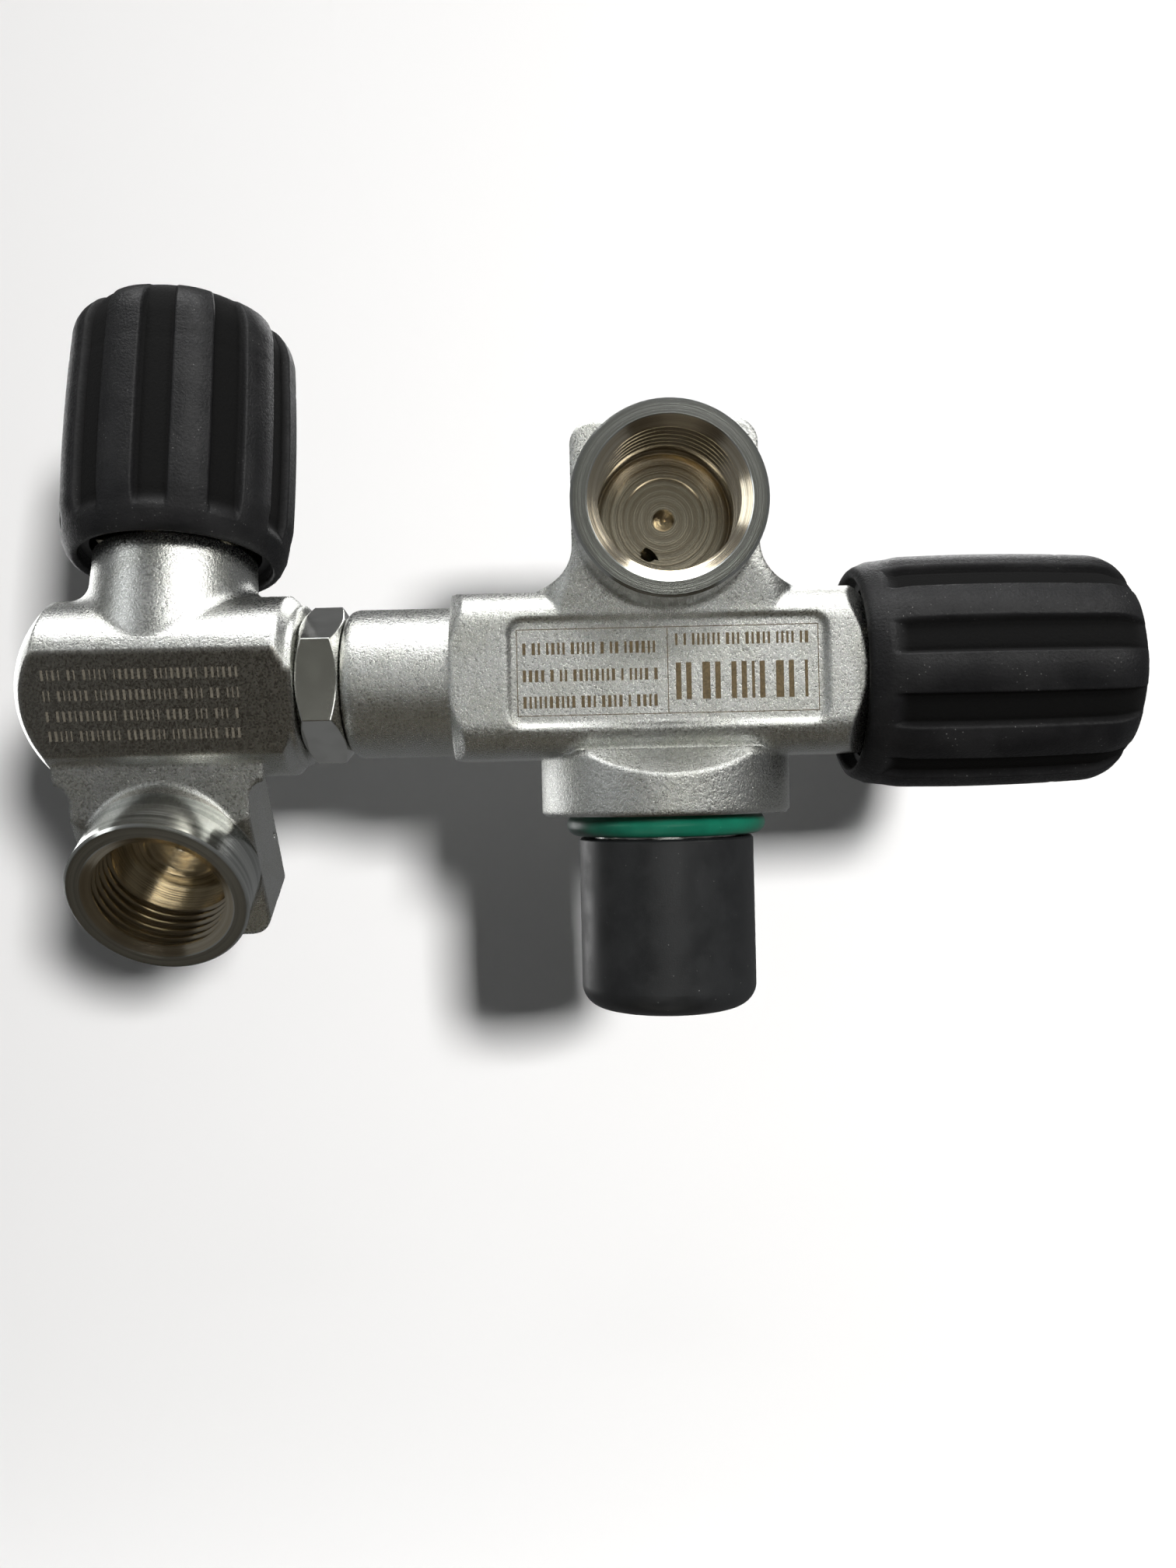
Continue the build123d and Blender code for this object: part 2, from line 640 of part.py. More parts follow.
def hex_nut(face_plane, across_flats, thickness, hole_r):
    """Hexagon nut standing on a plane, with 30 degree corners turned on both faces."""
    corner_r = across_flats / 2 / cos(radians(30))
    face_r = across_flats / 2 - HEX_FACE_INSET
    lead = (corner_r - face_r) * tan(radians(30))
    with BuildPart() as nut:
        with BuildSketch(face_plane):
            RegularPolygon(across_flats / 2, 6, major_radius=False, rotation=30)
        extrude(amount=thickness)
        half = Plane(origin=face_plane.origin, x_dir=face_plane.x_dir, z_dir=face_plane.y_dir * -1)
        with BuildSketch(half):
            with BuildLine():
                Polyline(
                    (0, 0),
                    (face_r, 0),
                    (corner_r, lead),
                    (corner_r, thickness - lead),
                    (face_r, thickness),
                    (0, thickness),
                    close=True,
                )
            make_face()
        revolve(axis=Axis(face_plane.origin, face_plane.z_dir), mode=Mode.INTERSECT)
        with BuildSketch(face_plane):
            Circle(hole_r)
        extrude(amount=thickness, mode=Mode.SUBTRACT)
    return nut.part


lock_plane = Plane(origin=(LOCK_NUT_LEFT, 0, AXIS_Z), x_dir=(0, 1, 0), z_dir=(1, 0, 0))
lock_nut = hex_nut(lock_plane, LOCK_NUT_AF, LOCK_NUT_RIGHT - LOCK_NUT_LEFT, SPIGOT_R + LOCK_NUT_FIT)
write(lock_nut, "lock_nut")

# ---------------------------------------------------------------- the valve units and their knobs


def bonnet(unit):
    hexagon = hex_nut(unit.plane.offset(GAP), BONNET_HEX_AF, BONNET_HEX_T, BONNET_BORE_R)
    sleeve = turned_on(
        unit,
        [
            (BONNET_SKIRT_R, BONNET_SKIRT_T),
            (BONNET_R, BONNET_SKIRT_T),
            (BONNET_R, BONNET_GROOVE_FROM_T),
            (BONNET_GROOVE_R, BONNET_GROOVE_FROM_T),
            (BONNET_GROOVE_R, BONNET_GROOVE_TO_T),
            (BONNET_R, BONNET_GROOVE_TO_T),
            (BONNET_R, GAP + BONNET_HEX_LAP),
            (BONNET_NECK_R, GAP + BONNET_HEX_LAP),
            (BONNET_NECK_R, BONNET_NECK_T),
            (BONNET_BORE_R, BONNET_NECK_T),
            (BONNET_BORE_R, BONNET_SHOULDER_T),
            (BONNET_SKIRT_R, BONNET_SHOULDER_T),
        ],
    )
    with BuildPart() as piece:
        add(hexagon)
        add(sleeve)
    return piece.part


def stem(unit):
    shaft = turned_on(
        unit,
        [
            (0, FLANGE_T),
            (FLANGE_R, FLANGE_T),
            (FLANGE_R, FLANGE_T + FLANGE_H),
            (STEM_R, FLANGE_T + FLANGE_H),
            (STEM_R, STEM_GROOVE_FROM_T),
            (STEM_R - STEM_GROOVE_DEPTH, STEM_GROOVE_FROM_T),
            (STEM_R - STEM_GROOVE_DEPTH, STEM_GROOVE_TO_T),
            (STEM_R, STEM_GROOVE_TO_T),
            (STEM_R, HUB_WEB_T - CLEARANCE),
            (0, HUB_WEB_T - CLEARANCE),
        ],
    )
    with BuildPart() as piece:
        add(shaft)
        with BuildSketch(unit.plane.offset(TONGUE_TIP_T)):
            Rectangle(TONGUE_R * 2, TONGUE_W)
        extrude(amount=FLANGE_T - TONGUE_TIP_T)
        with BuildSketch(unit.plane.offset(HUB_WEB_T - CLEARANCE)):
            Rectangle(STEM_SQUARE, STEM_SQUARE)
        extrude(amount=HUB_WEB_TOP_T - HUB_WEB_T - CLEARANCE)
        with BuildSketch(unit.plane.offset(HUB_WEB_TOP_T - STEM_LAP)):
            Circle(STEM_THREAD_R)
        extrude(amount=STEM_END_T - HUB_WEB_TOP_T + STEM_LAP)
        chamfer(piece.faces().sort_by(unit.axis)[-1].edges(), STEM_TIP_BEVEL)
    return piece.part


def seat_plug(unit):
    face = SEAT_T + INSERT_PROUD
    with BuildPart() as piece:
        with BuildSketch(unit.plane.offset(face)):
            Circle(PLUG_NOSE_R)
        extrude(amount=PLUG_NOSE_L)
        with BuildSketch(unit.plane.offset(face + PLUG_NOSE_L)):
            Circle(PLUG_R)
        extrude(amount=PLUG_L - PLUG_NOSE_L)
        with BuildSketch(unit.plane.offset(face)):
            Circle(INSERT_R + GAP)
        extrude(amount=INSERT_H - INSERT_PROUD + GAP, mode=Mode.SUBTRACT)
        with BuildSketch(unit.plane.offset(face + PLUG_L - SLOT_DEPTH)):
            Rectangle(PLUG_R * 2 + 1, SLOT_W)
        extrude(amount=SLOT_DEPTH, mode=Mode.SUBTRACT)
    return piece.part


def disc(unit, bottom, top, outer_r, inner_r=0.0):
    """Flat disc or washer between two heights."""
    with BuildPart() as piece:
        with BuildSketch(unit.plane.offset(bottom)):
            Circle(outer_r)
            if inner_r:
                Circle(inner_r, mode=Mode.SUBTRACT)
        extrude(amount=top - bottom)
    return piece.part


def knob_hub(unit):
    cup = turned_on(
        unit,
        [
            (HUB_CAVITY_R, HUB_BOTTOM_T),
            (HUB_R, HUB_BOTTOM_T),
            (HUB_R, HUB_TOP_T),
            (HUB_RECESS_R, HUB_TOP_T),
            (HUB_RECESS_R, HUB_WEB_TOP_T),
            (0, HUB_WEB_TOP_T),
            (0, HUB_WEB_T),
            (HUB_CAVITY_R, HUB_WEB_T),
        ],
    )
    with BuildPart() as piece:
        add(cup)
        with BuildSketch(unit.plane.offset(HUB_WEB_T - 1)):
            Rectangle(STEM_SQUARE + CLEARANCE, STEM_SQUARE + CLEARANCE)
        extrude(amount=HUB_WEB_TOP_T - HUB_WEB_T + 2, mode=Mode.SUBTRACT)
    return piece.part


def knob_grip(unit):
    """Rubber sleeve: slightly barrelled, rounded at the outer end, with flat lands between its ribs."""
    with BuildPart() as piece:
        with BuildSketch(unit.half):
            with BuildLine():
                Line((KNOB_HOLE_R, KNOB_END_T), (KNOB_END_FLAT_R, KNOB_END_T))
                Spline(
                    (KNOB_END_FLAT_R, KNOB_END_T),
                    (KNOB_CROWN_R, KNOB_END_T - KNOB_CROWN_DROP),
                    (KNOB_WAIST_R, KNOB_END_T - KNOB_SHOULDER_DROP),
                    tangents=((1, 0), (0.12, -1)),
                )
                ThreePointArc(
                    (KNOB_WAIST_R, KNOB_END_T - KNOB_SHOULDER_DROP),
                    (KNOB_R, KNOB_BELLY_T),
                    (KNOB_WAIST_R, KNOB_SKIRT_T),
                )
                Polyline(
                    (KNOB_WAIST_R, KNOB_SKIRT_T),
                    *((KNOB_WAIST_R - inset, KNOB_RIM_T + rise) for inset, rise in KNOB_SKIRT_ROUND),
                    (KNOB_MOUTH_R, KNOB_RIM_T),
                    (KNOB_MOUTH_R, HUB_BOTTOM_T - CLEARANCE),
                    (HUB_R + GAP, HUB_BOTTOM_T - CLEARANCE),
                    (HUB_R + GAP, HUB_TOP_T + GAP),
                    (KNOB_HOLE_R, HUB_TOP_T + GAP),
                    (KNOB_HOLE_R, KNOB_END_T),
                )
            make_face()
        revolve(axis=unit.axis)
        land_half = radians(360 / KNOB_LOBES - KNOB_LOBE_DEG) / 2
        inner = KNOB_GROOVE_R / cos(land_half)
        outer = KNOB_R + 2
        with BuildSketch(unit.plane.offset(KNOB_GROOVE_FROM_T)):
            with PolarLocations(0, KNOB_LOBES, start_angle=KNOB_PHASE):
                Polygon(
                    (inner * cos(land_half), -inner * sin(land_half)),
                    (outer, -inner * sin(land_half)),
                    (outer, inner * sin(land_half)),
                    (inner * cos(land_half), inner * sin(land_half)),
                    align=None,
                )
        extrude(amount=KNOB_GROOVE_TO_T - KNOB_GROOVE_FROM_T, mode=Mode.SUBTRACT)
    return piece.part


def knob_spring(unit):
    """Light coil spring between the bonnet's hexagon and the hub's web."""
    low = BONNET_HEX_T + SPRING_WIRE_R + SPRING_END_GAP
    height = HUB_WEB_T - SPRING_WIRE_R - SPRING_END_GAP - low
    coil = unit.plane.offset(low).location * Helix(height / SPRING_TURNS, height, SPRING_R)
    with BuildPart() as piece:
        with BuildLine():
            add(coil)
        with BuildSketch(Plane(origin=coil @ 0, z_dir=coil % 0)):
            Circle(SPRING_WIRE_R)
        sweep(is_frenet=True)
    return piece.part


bonnet_ring_t = (BONNET_GROOVE_FROM_T + BONNET_GROOVE_TO_T) / 2
bonnet_ring_r = BONNET_GROOVE_R + BONNET_RING_WIRE_R + GAP
stem_ring_t = (STEM_GROOVE_FROM_T + STEM_GROOVE_TO_T) / 2
stem_ring_r = STEM_R - STEM_RING_WIRE_R
stem_washer_t = FLANGE_T + FLANGE_H + 0.05
nut_t = HUB_WEB_TOP_T + NUT_WASHER_H + 2 * GAP

for name, unit in (("main", main_unit), ("side", side_unit)):
    stem_washer = disc(unit, stem_washer_t, stem_washer_t + WASHER_H, FLANGE_R, STEM_R + CLEARANCE)
    nut_washer = disc(unit, HUB_WEB_TOP_T + GAP, nut_t - GAP, NUT_WASHER_R, NUT_WASHER_HOLE_R)
    knob_nut = hex_nut(unit.plane.offset(nut_t), NUT_AF, NUT_H, STEM_THREAD_R + GAP)
    write(bonnet(unit), f"{name}_bonnet")
    write(ring_on(unit, bonnet_ring_t, bonnet_ring_r, BONNET_RING_WIRE_R), f"{name}_bonnet_o_ring")
    write(stem(unit), f"{name}_stem")
    write(ring_on(unit, stem_ring_t, stem_ring_r, STEM_RING_WIRE_R), f"{name}_stem_o_ring")
    write(stem_washer, f"{name}_stem_washer")
    write(seat_plug(unit), f"{name}_seat_plug")
    write(disc(unit, SEAT_T + GAP, SEAT_T + INSERT_H, INSERT_R), f"{name}_seat_insert")
    write(knob_hub(unit), f"{name}_knob_hub")
    write(knob_grip(unit), f"{name}_knob_grip")
    write(knob_spring(unit), f"{name}_knob_spring")
    write(nut_washer, f"{name}_knob_washer")
    write(knob_nut, f"{name}_knob_nut")
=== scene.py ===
"""Looks of the two-outlet cylinder valve: materials, rubber grips, marks, stage, light and camera."""

import json
import math
import random

import bmesh
import bpy
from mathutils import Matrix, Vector


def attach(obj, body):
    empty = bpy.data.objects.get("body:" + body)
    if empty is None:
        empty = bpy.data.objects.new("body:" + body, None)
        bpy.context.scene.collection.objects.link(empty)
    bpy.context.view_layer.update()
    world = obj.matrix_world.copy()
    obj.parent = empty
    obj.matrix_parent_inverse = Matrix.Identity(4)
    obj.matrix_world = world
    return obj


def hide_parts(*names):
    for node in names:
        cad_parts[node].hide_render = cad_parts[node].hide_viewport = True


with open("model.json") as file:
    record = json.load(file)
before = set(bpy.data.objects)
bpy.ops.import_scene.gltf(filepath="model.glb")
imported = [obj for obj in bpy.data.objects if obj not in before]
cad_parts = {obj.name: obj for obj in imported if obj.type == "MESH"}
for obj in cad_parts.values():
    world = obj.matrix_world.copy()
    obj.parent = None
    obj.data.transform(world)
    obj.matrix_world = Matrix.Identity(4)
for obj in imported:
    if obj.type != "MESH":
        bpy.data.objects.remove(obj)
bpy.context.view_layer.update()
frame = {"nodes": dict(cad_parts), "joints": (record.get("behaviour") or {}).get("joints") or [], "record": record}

MM = 0.001

joints = {joint["name"]: joint for joint in frame["joints"]}
mounts = {mount["name"]: mount for mount in frame["record"]["mounts"]}


# ---------------------------------------------------------------- shader building

# for each kind of value, a Mix node's two inputs and its output
MIX_SOCKETS = {"FLOAT": (2, 3, 0), "VECTOR": (4, 5, 1), "RGBA": (6, 7, 2)}


class Shader:
    """A material with one Principled shader, and short ways to add nodes to it."""

    def __init__(self, name, colour, metallic, roughness):
        self.material = bpy.data.materials.new(name)
        self.material.use_nodes = True
        self.tree = self.material.node_tree
        self.bsdf = self.tree.nodes["Principled BSDF"]
        self.bsdf.inputs["Base Color"].default_value = (*colour, 1)
        self.bsdf.inputs["Metallic"].default_value = metallic
        self.bsdf.inputs["Roughness"].default_value = roughness
        self.place = self.add("ShaderNodeTexCoord").outputs["Object"]

    def add(self, kind, inputs=(), **settings):
        node = self.tree.nodes.new(kind)
        for key, value in settings.items():
            setattr(node, key, value)
        for key, value in dict(inputs).items():
            self.feed(node.inputs[key], value)
        return node

    def feed(self, socket, value):
        if isinstance(value, bpy.types.NodeSocket):
            self.tree.links.new(value, socket)
        else:
            socket.default_value = value

    def set(self, name, value):
        self.feed(self.bsdf.inputs[name], value)

    def math(self, operation, first, second):
        return self.add("ShaderNodeMath", {0: first, 1: second}, operation=operation).outputs[0]

    def vector(self, operation, first, second, output="Vector"):
        node = self.add("ShaderNodeVectorMath", {0: first, 1: second}, operation=operation)
        return node.outputs[output]

    def length(self, vector):
        return self.add("ShaderNodeVectorMath", {0: vector}, operation="LENGTH").outputs["Value"]

    def noise(self, size_mm, detail, rough, place=None):
        scale = 1 / (size_mm * MM)
        inputs = {"Vector": place or self.place, "Scale": scale, "Detail": detail, "Roughness": rough}
        return self.add("ShaderNodeTexNoise", inputs).outputs["Fac"]

    def cells(self, size_mm):
        inputs = {"Vector": self.place, "Scale": 1 / (size_mm * MM)}
        return self.add("ShaderNodeTexVoronoi", inputs).outputs["Distance"]

    def ramp(self, value, start, end, low=0.0, high=1.0):
        """The value, mapped smoothly from start..end to low..high."""
        inputs = {"Value": value, "From Min": start, "From Max": end, "To Min": low, "To Max": high}
        return self.add("ShaderNodeMapRange", inputs, interpolation_type="SMOOTHSTEP").outputs[0]

    def blend(self, kind, factor, first, second):
        """The first value where the factor is 0, and the second where it is 1."""
        first_input, second_input, output = MIX_SOCKETS[kind]
        inputs = {0: factor, first_input: first, second_input: second}
        return self.add("ShaderNodeMix", inputs, data_type=kind).outputs[output]

    def mix(self, factor, first, second):
        """Blend of two colours, each a tuple or the output of a node."""
        colours = [(*value, 1) if isinstance(value, tuple) else value for value in (first, second)]
        return self.blend("RGBA", factor, *colours)

    def bump(self, height, depth, strength=1.0, normal=None):
        """Normal bent by a height. The depth is in metres, a number or the output of a node."""
        inputs = {"Height": height, "Distance": depth, "Strength": strength}
        if normal:
            inputs["Normal"] = normal
        return self.add("ShaderNodeBump", inputs).outputs["Normal"]

    def soft_edges(self, radius_mm):
        return self.add("ShaderNodeBevel", {"Radius": radius_mm * MM}, samples=6).outputs["Normal"]

    def round_axis(self, centre, direction):
        """Distance from an axis, and height along it, of each point of the surface."""
        offset = self.vector("SUBTRACT", self.place, tuple(centre))
        height = self.vector("DOT_PRODUCT", offset, tuple(direction), "Value")
        inputs = {0: tuple(direction), "Scale": height}
        along = self.add("ShaderNodeVectorMath", inputs, operation="SCALE").outputs["Vector"]
        return self.length(self.vector("SUBTRACT", offset, along)), height


# ---------------------------------------------------------------- materials

CHROME = (0.60, 0.605, 0.585)
CHROME_WORN = (0.56, 0.565, 0.53)
CHROME_DARK = (0.36, 0.36, 0.33)
# painted shade for the side label's flat: a dark reflection painted into its colour
LABEL_PAINTED_SHADE = (0.36, 0.35, 0.32)
TOOL_LINE_DARK = (0.36, 0.37, 0.35)
TOOL_LINE_LIGHT = (0.62, 0.63, 0.60)
BRASS = (0.52, 0.455, 0.34)
BRASS_LIGHT = (0.62, 0.56, 0.44)

# the turned parts round an outlet, as radii from its axis and heights from its mount
BOSS_RADIUS = 14.25 * MM
BOSS_HEIGHT = -7.6 * MM
BOSS_EDGE = 0.07 * MM
STEP_EDGE = 0.05 * MM
PORT_RADIUS = 11.75 * MM
PORT_EDGE = 0.03 * MM
PORT_BOTTOM = -14.5 * MM
BRASS_BOTTOM = PORT_BOTTOM - 1.5 * MM
BRASS_EDGE = 0.3 * MM
# the main body is turned below the top of its neck, and a label's flat ends at its edges
NECK_TOP = 0.15 * MM
NECK_EDGE = 0.15 * MM
LABEL_EDGE = -0.35 * MM
LABEL_FLAT = -0.05 * MM
LABEL_GRAIN_SHARE = 0.4


def forged_chrome(name, port, grain_depth, label=None):
    """Chrome over a shot-blasted forging, turned smooth at the outlet, with bare brass inside it."""
    shader = Shader(name, CHROME, 1.0, 0.3)
    radius, height = shader.round_axis(port["pos_m"], port["axis"])
    in_boss = shader.math(
        "MULTIPLY",
        shader.ramp(radius, BOSS_RADIUS, BOSS_RADIUS + BOSS_EDGE, low=1, high=0),
        shader.ramp(height, BOSS_HEIGHT - STEP_EDGE, BOSS_HEIGHT + STEP_EDGE),
    )
    in_bore = shader.math(
        "MULTIPLY",
        shader.ramp(radius, PORT_RADIUS - PORT_EDGE, PORT_RADIUS + PORT_EDGE, low=1, high=0),
        shader.ramp(height, BRASS_BOTTOM, BRASS_BOTTOM + BRASS_EDGE),
    )
    turned = shader.math("MAXIMUM", in_boss, in_bore)
    if port["name"] == "main_outlet":
        z = shader.add("ShaderNodeSeparateXYZ", {0: shader.place}).outputs["Z"]
        turned_neck = shader.ramp(z, NECK_TOP, NECK_TOP + NECK_EDGE, low=1, high=0)
        turned = shader.math("MAXIMUM", turned, turned_neck)
    on_label_flat = 0.0
    # on a label's flat the grain is shallower, and the colour is darkened there as painted shade, standing in for
    # the dark reflection the flat faces
    if label:
        middle, outward = label
        offset = shader.vector("SUBTRACT", shader.place, tuple(middle))
        height_on_label = shader.vector("DOT_PRODUCT", offset, tuple(outward), "Value")
        on_label_flat = shader.ramp(height_on_label, LABEL_EDGE, LABEL_FLAT)

    grain = shader.noise(0.32, detail=3.0, rough=0.6)
    dents = shader.noise(0.8, detail=2.0, rough=0.5)
    swell = shader.noise(6.0, detail=2.0, rough=0.5)
    rough_height = shader.math("ADD", grain, shader.math("MULTIPLY", dents, 0.55))
    rings = shader.add("ShaderNodeCombineXYZ", {"X": radius, "Y": shader.math("MULTIPLY", height, 0.6)})
    ring_grain = shader.noise(0.16, detail=2.0, rough=0.6, place=rings.outputs[0])
    ring_waves = shader.noise(0.8, detail=2.0, rough=0.6, place=rings.outputs[0])
    depth = shader.blend("FLOAT", on_label_flat, grain_depth * MM, grain_depth * LABEL_GRAIN_SHARE * MM)
    blasted = shader.bump(rough_height, depth, normal=shader.soft_edges(1.0))
    ring_height = shader.math("ADD", shader.math("MULTIPLY", ring_grain, 0.25), ring_waves)
    lathed = shader.bump(ring_height, 0.022 * MM)
    shader.set("Normal", shader.blend("VECTOR", turned, blasted, lathed))

    worn = shader.mix(shader.ramp(swell, 0.35, 0.7), CHROME, CHROME_WORN)
    pitted = shader.mix(shader.ramp(grain, 0.30, 0.42, low=0.12, high=0), worn, CHROME_DARK)
    # painted shade: the label's flat is coloured darker, a dark reflection painted in
    label_shaded = shader.mix(on_label_flat, pitted, LABEL_PAINTED_SHADE)
    tool_lines = shader.ramp(ring_waves, 0.36, 0.62)
    bright = shader.mix(turned, label_shaded, shader.mix(tool_lines, TOOL_LINE_DARK, TOOL_LINE_LIGHT))
    shader.set("Base Color", shader.mix(in_bore, bright, shader.mix(tool_lines, BRASS, BRASS_LIGHT)))
    forged_roughness = shader.ramp(grain, 0.3, 0.7, low=0.20, high=0.36)
    turned_roughness = shader.ramp(ring_grain, 0.3, 0.7, low=0.12, high=0.24)
    shader.set("Roughness", shader.blend("FLOAT", turned, forged_roughness, turned_roughness))
    return shader.material


def polished_chrome():
    """Bright plate with a fine grain and slow waves."""
    shader = Shader("polished_chrome_plate", (0.66, 0.66, 0.63), 1.0, 0.1)
    polish = shader.noise(0.25, detail=3.0, rough=0.7)
    wave = shader.noise(4.0, detail=1.0, rough=0.5)
    shader.set("Roughness", shader.ramp(polish, 0.3, 0.75, low=0.07, high=0.16))
    shader.set("Base Color", shader.mix(shader.ramp(wave, 0.3, 0.7), (0.68, 0.68, 0.65), (0.60, 0.60, 0.57)))
    height = shader.math("ADD", shader.math("MULTIPLY", polish, 0.12), shader.math("MULTIPLY", wave, 0.9))
    shader.set("Normal", shader.bump(height, 0.03 * MM, normal=shader.soft_edges(0.3)))
    return shader.material


def turned_metal(name, colour, roughness):
    """Plain turned metal with a fine grain."""
    shader = Shader(name, colour, 1.0, roughness)
    grain = shader.noise(0.2, detail=3.0, rough=0.7)
    darker = tuple(0.8 * channel for channel in colour)
    shader.set("Base Color", shader.mix(shader.ramp(grain, 0.35, 0.7), colour, darker))
    shader.set("Roughness", shader.ramp(grain, 0.3, 0.7, low=roughness * 0.7, high=roughness * 1.3))
    shader.set("Normal", shader.bump(grain, 0.01 * MM, 0.6, shader.soft_edges(0.15)))
    return shader.material


RUBBER = (0.0045, 0.0045, 0.005)
RUBBER_SCUFFED = (0.010, 0.010, 0.0105)
RUBBER_DUST = (0.18, 0.18, 0.175)
# painted shade for the recessed lands of the grips
RECESS_PAINTED_SHADE = (0.0015, 0.0015, 0.0015)
RECESS_ROUGHNESS = 0.9


def grained_rubber():
    """Black moulded rubber: leathery grain, paler scuffed patches with dust in them, and duller recesses darkened
    with painted shade.
    """
    shader = Shader("grained_rubber", (0.012, 0.012, 0.013), 0.0, 0.5)
    grain = shader.noise(0.42, detail=4.0, rough=0.6)
    patches = shader.noise(7.0, detail=2.0, rough=0.5)
    dots = shader.ramp(shader.cells(0.9), 0.05, 0.13, low=1, high=0)
    specks = shader.math("MULTIPLY", dots, shader.ramp(patches, 0.4, 0.7))
    scuffed = shader.mix(shader.ramp(patches, 0.35, 0.7), RUBBER, RUBBER_SCUFFED)
    dusty = shader.mix(shader.math("MULTIPLY", specks, 0.8), scuffed, RUBBER_DUST)
    recess = shader.add("ShaderNodeAttribute", attribute_name="recess").outputs["Fac"]
    # painted shade: the recessed lands are coloured darker than the lobes
    shader.set("Base Color", shader.mix(recess, dusty, RECESS_PAINTED_SHADE))
    open_roughness = shader.ramp(grain, 0.3, 0.7, low=0.36, high=0.56)
    shader.set("Roughness", shader.blend("FLOAT", recess, open_roughness, RECESS_ROUGHNESS))
    shader.set("Specular IOR Level", 0.22)
    shader.set("Normal", shader.bump(grain, 0.11 * MM))
    return shader.material


def smooth_polymer(name, colour, roughness, dust_colour, grain_mm, depth_mm):
    """Moulded plastic or rubber with a fine surface and a little dust."""
    shader = Shader(name, colour, 0.0, roughness)
    grain = shader.noise(grain_mm, detail=3.0, rough=0.55)
    wear = shader.noise(5.0, detail=3.0, rough=0.6)
    dots = shader.ramp(shader.cells(1.4), 0.03, 0.075, low=1, high=0)
    specks = shader.math("MULTIPLY", dots, shader.ramp(wear, 0.42, 0.62))
    lighter = tuple(1.35 * channel for channel in colour)
    worn = shader.mix(shader.ramp(wear, 0.35, 0.7), colour, lighter)
    shader.set("Base Color", shader.mix(shader.math("MULTIPLY", specks, 0.6), worn, dust_colour))
    shader.set("Roughness", shader.ramp(wear, 0.3, 0.7, low=roughness * 0.85, high=roughness * 1.2))
    shader.set("Normal", shader.bump(grain, depth_mm * MM, normal=shader.soft_edges(0.25)))
    return shader.material


def laser_mark(name, colour):
    """Oxide left by laser marking on the plate."""
    shader = Shader(name, colour, 0.35, 0.5)
    mottle = shader.noise(0.3, detail=3.0, rough=0.7)
    light = tuple(min(1.0, 1.8 * channel) for channel in colour)
    shader.set("Base Color", shader.mix(shader.ramp(mottle, 0.35, 0.65), colour, light))
    shader.set("Normal", shader.bump(mottle, 0.03 * MM))
    return shader.material


GREY_DUST = (0.1, 0.1, 0.1)
PALE_DUST = (0.3, 0.3, 0.29)
GREEN_DUST = (0.1, 0.3, 0.2)
PTFE_DUST = (0.5, 0.5, 0.48)

slot_materials = {
    "polished_chrome": polished_chrome(),
    "nickel_brass": turned_metal("nickel_plated_brass", (0.60, 0.55, 0.43), 0.28),
    "stainless": turned_metal("stainless_steel", (0.55, 0.55, 0.54), 0.3),
    "black_rubber": grained_rubber(),
    "black_nylon": smooth_polymer("glass_filled_nylon", (0.02, 0.02, 0.021), 0.45, GREY_DUST, 0.3, 0.02),
    "black_vinyl": smooth_polymer("soft_vinyl", (0.009, 0.0095, 0.01), 0.42, PALE_DUST, 0.25, 0.012),
    "green_rubber": smooth_polymer("green_nitrile", (0.003, 0.085, 0.05), 0.36, GREEN_DUST, 0.3, 0.008),
    "black_seal": smooth_polymer("black_nitrile", (0.012, 0.012, 0.012), 0.4, GREY_DUST, 0.3, 0.01),
    "white_ptfe": smooth_polymer("white_ptfe", (0.7, 0.7, 0.67), 0.35, PTFE_DUST, 0.4, 0.01),
}

# the side module's label: a flat on the near side of the body, tilted to look down a little
SIDE_BODY_MIDDLE = Vector((-80, 0, 22))
SIDE_LABEL_DISTANCE = 12
SIDE_LABEL_TILT = math.radians(15)
label_out = Vector((0, -math.cos(SIDE_LABEL_TILT), -math.sin(SIDE_LABEL_TILT)))
label_up = Vector((0, -math.sin(SIDE_LABEL_TILT), math.cos(SIDE_LABEL_TILT)))
label_middle = SIDE_BODY_MIDDLE * MM + label_out * SIDE_LABEL_DISTANCE * MM

bodies = {
    "main_body": forged_chrome("forged_chrome_main", mounts["main_outlet"], 0.12),
    "side_body": forged_chrome("forged_chrome_side", mounts["side_outlet"], 0.07, (label_middle, label_out)),
}
for subpart in frame["record"]["subparts"]:
    node = frame["nodes"][subpart["node"]]
    material = bodies.get(subpart["node"]) or slot_materials[subpart["material_slot"]]
    for material_slot in node.material_slots:
        material_slot.material = material


# ---------------------------------------------------------------- mesh building


def new_object(name, data):
    thing = bpy.data.objects.new(name, data)
    bpy.context.collection.objects.link(thing)
    return thing


def mesh_of(name, faces):
    """Mesh made from a bmesh, which is used up."""
    mesh = bpy.data.meshes.new(name)
    faces.to_mesh(mesh)
    faces.free()
    return mesh


def new_piece(name, mesh, material, body):
    """A piece that rides on a body of the frame."""
    piece = new_object(name, mesh)
    piece.data.materials.append(material)
    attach(piece, body)
    return piece


def smoothstep(value, start, end):
    """0 up to the start, 1 from the end on, and a smooth rise between them."""
    share = min(1.0, max(0.0, (value - start) / (end - start)))
    return share * share * (3 - 2 * share)


# ---------------------------------------------------------------- rubber grips

